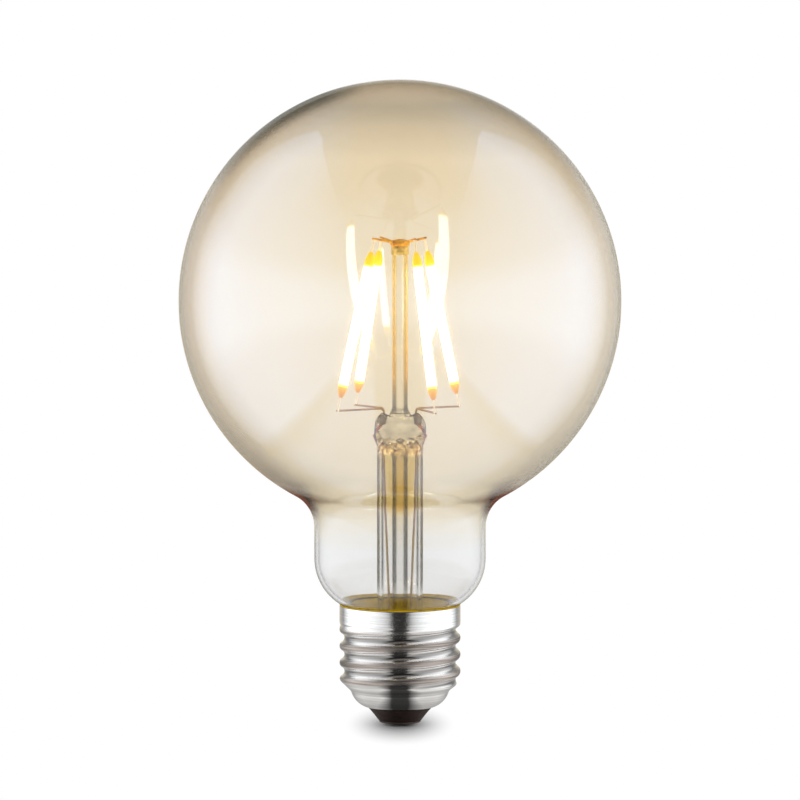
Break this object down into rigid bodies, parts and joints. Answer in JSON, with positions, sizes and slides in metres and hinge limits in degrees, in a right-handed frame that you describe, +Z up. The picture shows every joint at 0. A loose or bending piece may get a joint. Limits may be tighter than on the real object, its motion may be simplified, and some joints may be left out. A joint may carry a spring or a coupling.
{
  "type": "globe light bulb",
  "caption": "Clear amber globe light bulb with upright lit strips on a glass stem and a standard 27 mm screw cap.",
  "frame": {"origin": "tip of the centre contact, on the bulb's axis", "axes": "+Z up the axis from the cap through the globe, -Y towards the viewer of the picture, +X to the right"},
  "size_m": [0.095, 0.095, 0.139],
  "materials": {
    "coated_glass": "clear blown glass with a thin amber coat on the globe, fading to clear at the neck",
    "clear_glass": "clear drawn and pressed glass",
    "phosphor": "yellow light-converting coat, lit warm white between its tips",
    "nickel_wire": "drawn nickel wire, slightly dulled",
    "seal_metal": "copper-clad wire, pink where it is sealed in glass",
    "tinned_lead": "tinned copper lead",
    "cap_metal": "bright nickel plate on thin rolled sheet",
    "black_glass": "black fused glass, glossy",
    "contact_metal": "dulled brown contact metal",
    "cement": "olive-yellow basing cement",
    "circuit_board": "solder-masked board",
    "moulded_black": "moulded black",
    "capacitor_can": "sleeved can",
    "resistor_coat": "lacquered body"
  },
  "bodies": {
    "root": {"glass_envelope": "coated_glass", "stem_flare": "clear_glass", "exhaust_tube": "clear_glass", "support_rod": "clear_glass", "filament_1": "phosphor", "filament_2": "phosphor", "filament_3": "phosphor", "filament_4": "phosphor", "top_hub": "nickel_wire", "filament_foot_pin_1": "nickel_wire", "filament_foot_pin_2": "nickel_wire", "filament_foot_pin_3": "nickel_wire", "filament_foot_pin_4": "nickel_wire", "filament_top_pin_1": "nickel_wire", "filament_top_pin_2": "nickel_wire", "filament_top_pin_3": "nickel_wire", "filament_top_pin_4": "nickel_wire", "lead_arm_1": "nickel_wire", "lead_arm_2": "nickel_wire", "lead_arm_3": "nickel_wire", "lead_arm_4": "nickel_wire", "anchor_wire_1": "nickel_wire", "anchor_wire_2": "nickel_wire", "anchor_wire_3": "nickel_wire", "anchor_wire_4": "nickel_wire", "weld_sleeve_left": "nickel_wire", "weld_sleeve_right": "nickel_wire", "seal_wire_left": "seal_metal", "seal_wire_right": "seal_metal", "outer_lead_left": "tinned_lead", "outer_lead_right": "tinned_lead", "shell_lead": "tinned_lead", "cap_shell": "cap_metal", "cap_insulator": "black_glass", "centre_contact": "contact_metal", "basing_cement": "cement", "driver_board": "circuit_board", "bridge_rectifier": "moulded_black", "driver_chip": "moulded_black", "smoothing_capacitor": "capacitor_can", "fuse_resistor": "resistor_coat"}
  },
  "joints": []
}
